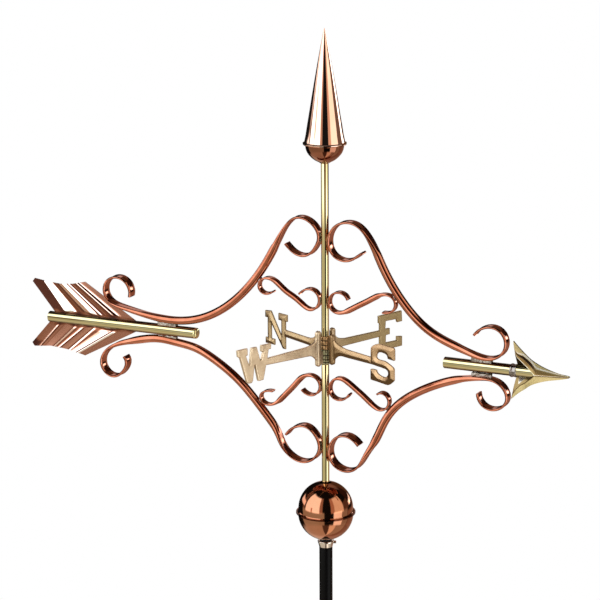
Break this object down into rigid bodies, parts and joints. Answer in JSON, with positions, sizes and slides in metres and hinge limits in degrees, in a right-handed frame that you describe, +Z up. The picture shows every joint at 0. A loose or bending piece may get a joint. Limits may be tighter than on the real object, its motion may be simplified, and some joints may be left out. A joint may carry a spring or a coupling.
{
  "type": "weather vane",
  "caption": "Garden weather vane with a feathered arrow on scrolled copper tubes, compass letters, a pointed finial and a globe above a pole collar.",
  "frame": {"origin": "centre of the flat lower end of the pole, on the spindle axis", "axes": "+Z up along the spindle; the arrow points along +X and its scrolls lie in the XZ plane at rest; the compass castings stand at their set angle to it"},
  "size_m": [0.9929, 0.353, 0.993],
  "materials": {
    "polished_copper": "mirror polished copper, lightly lacquered",
    "feather_copper": "pressed copper sheet, bright ribs on a duller ground",
    "polished_brass": "mirror polished yellow brass",
    "cast_brass": "satin cast brass with softened edges",
    "solder": "dull grey lead-free solder",
    "nickel_collar": "bright nickel plate",
    "steel_parts": "bright zinc-plated steel",
    "black_pole": "satin black powder coat",
    "washer_rubber": "matt black rubber",
    "bush_nylon": "natural nylon"
  },
  "bodies": {
    "mount": {"mounting_pole": "black_pole", "pole_collar": "nickel_collar", "collar_set_screw": "steel_parts", "globe_washer": "washer_rubber", "globe_upper_half": "polished_copper", "globe_lower_half": "polished_copper", "spindle_rod": "steel_parts", "bearing_ball": "steel_parts"},
    "compass": {"compass_casting_north_south": "cast_brass", "compass_casting_west_east": "cast_brass", "hub_set_screw_upper": "steel_parts", "hub_set_screw_lower": "steel_parts"},
    "vane": {"arrowhead_back_plate": "polished_brass", "arrowhead_front_plate": "polished_brass", "bush_lower_tube_bottom": "bush_nylon", "bush_lower_tube_top": "bush_nylon", "bush_upper_tube_bottom": "bush_nylon", "bush_upper_tube_top": "bush_nylon", "finial_bowl": "polished_copper", "finial_cone": "polished_copper", "head_collar": "solder", "head_tube": "polished_brass", "lower_spindle_tube": "polished_brass", "scroll_lower_head": "polished_copper", "scroll_lower_tail": "polished_copper", "scroll_upper_head": "polished_copper", "scroll_upper_tail": "polished_copper", "small_scroll_lower_head": "polished_copper", "small_scroll_lower_tail": "polished_copper", "small_scroll_upper_head": "polished_copper", "small_scroll_upper_tail": "polished_copper", "solder_arrow_head_lower": "solder", "solder_arrow_head_upper": "solder", "solder_arrow_tail_lower": "solder", "solder_arrow_tail_upper": "solder", "solder_small_lower_head": "solder", "solder_small_lower_tail": "solder", "solder_small_to_lower_head": "solder", "solder_small_to_lower_tail": "solder", "solder_small_to_upper_head": "solder", "solder_small_to_upper_tail": "solder", "solder_small_upper_head": "solder", "solder_small_upper_tail": "solder", "solder_spindle_lower_head": "solder", "solder_spindle_lower_tail": "solder", "solder_spindle_upper_head": "solder", "solder_spindle_upper_tail": "solder", "spindle_top_plug": "polished_brass", "tail_feather_lower": "feather_copper", "tail_feather_upper": "feather_copper", "tail_tube": "polished_brass", "tail_tube_cap": "polished_brass", "upper_spindle_tube": "polished_brass"}
  },
  "joints": [
    {"name": "vane_spin", "type": "hinge", "parent": "mount", "child": "vane", "pos_m": [0, 0, 0.756], "axis": [0, 0, 1], "continuous": true},
    {"name": "compass_align", "type": "hinge", "parent": "mount", "child": "compass", "pos_m": [0, 0, 0.458], "axis": [0, 0, 1], "continuous": true}
  ]
}
